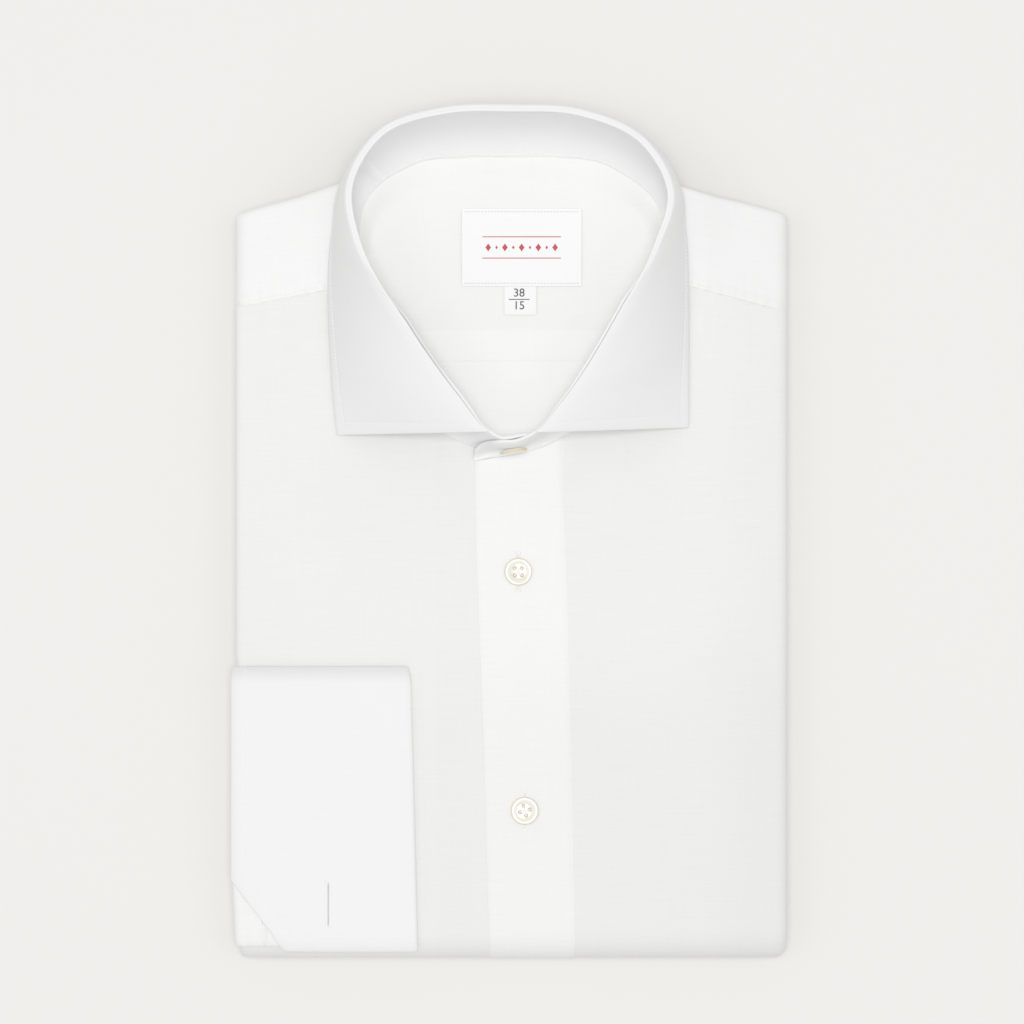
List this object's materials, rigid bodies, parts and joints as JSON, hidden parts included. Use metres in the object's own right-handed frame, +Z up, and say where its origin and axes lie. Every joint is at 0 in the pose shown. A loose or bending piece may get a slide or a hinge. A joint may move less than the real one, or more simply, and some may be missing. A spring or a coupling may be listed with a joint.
{
  "type": "folded dress shirt",
  "caption": "White long sleeve dress shirt pressed and folded flat, with a standing cutaway collar and a turned back French cuff on its front.",
  "frame": {"origin": "centre of the bounding box, on the plane the folded shirt lies on", "axes": "+Y from the bottom fold towards the collar, +X to the wearer's left, +Z up out of the front"},
  "size_m": [0.2194, 0.3352, 0.0602],
  "materials": {
    "shirt_cloth": "pressed white cotton",
    "collar_cloth": "interlined white cotton",
    "label_tape": "woven satin tape",
    "button_shell": "polished mother of pearl"
  },
  "bodies": {
    "root": {"front_right": "shirt_cloth", "front_left": "shirt_cloth", "placket": "shirt_cloth", "yoke": "shirt_cloth", "yoke_lining": "shirt_cloth", "back_panel": "shirt_cloth", "folded_layers": "shirt_cloth", "sleeve": "shirt_cloth", "collar_stand": "collar_cloth", "collar_leaf": "collar_cloth", "cuff_turned": "collar_cloth", "cuff_under": "collar_cloth", "neck_label": "label_tape", "size_label": "label_tape", "front_button_1": "button_shell", "front_button_2": "button_shell", "collar_button": "button_shell"}
  },
  "joints": []
}
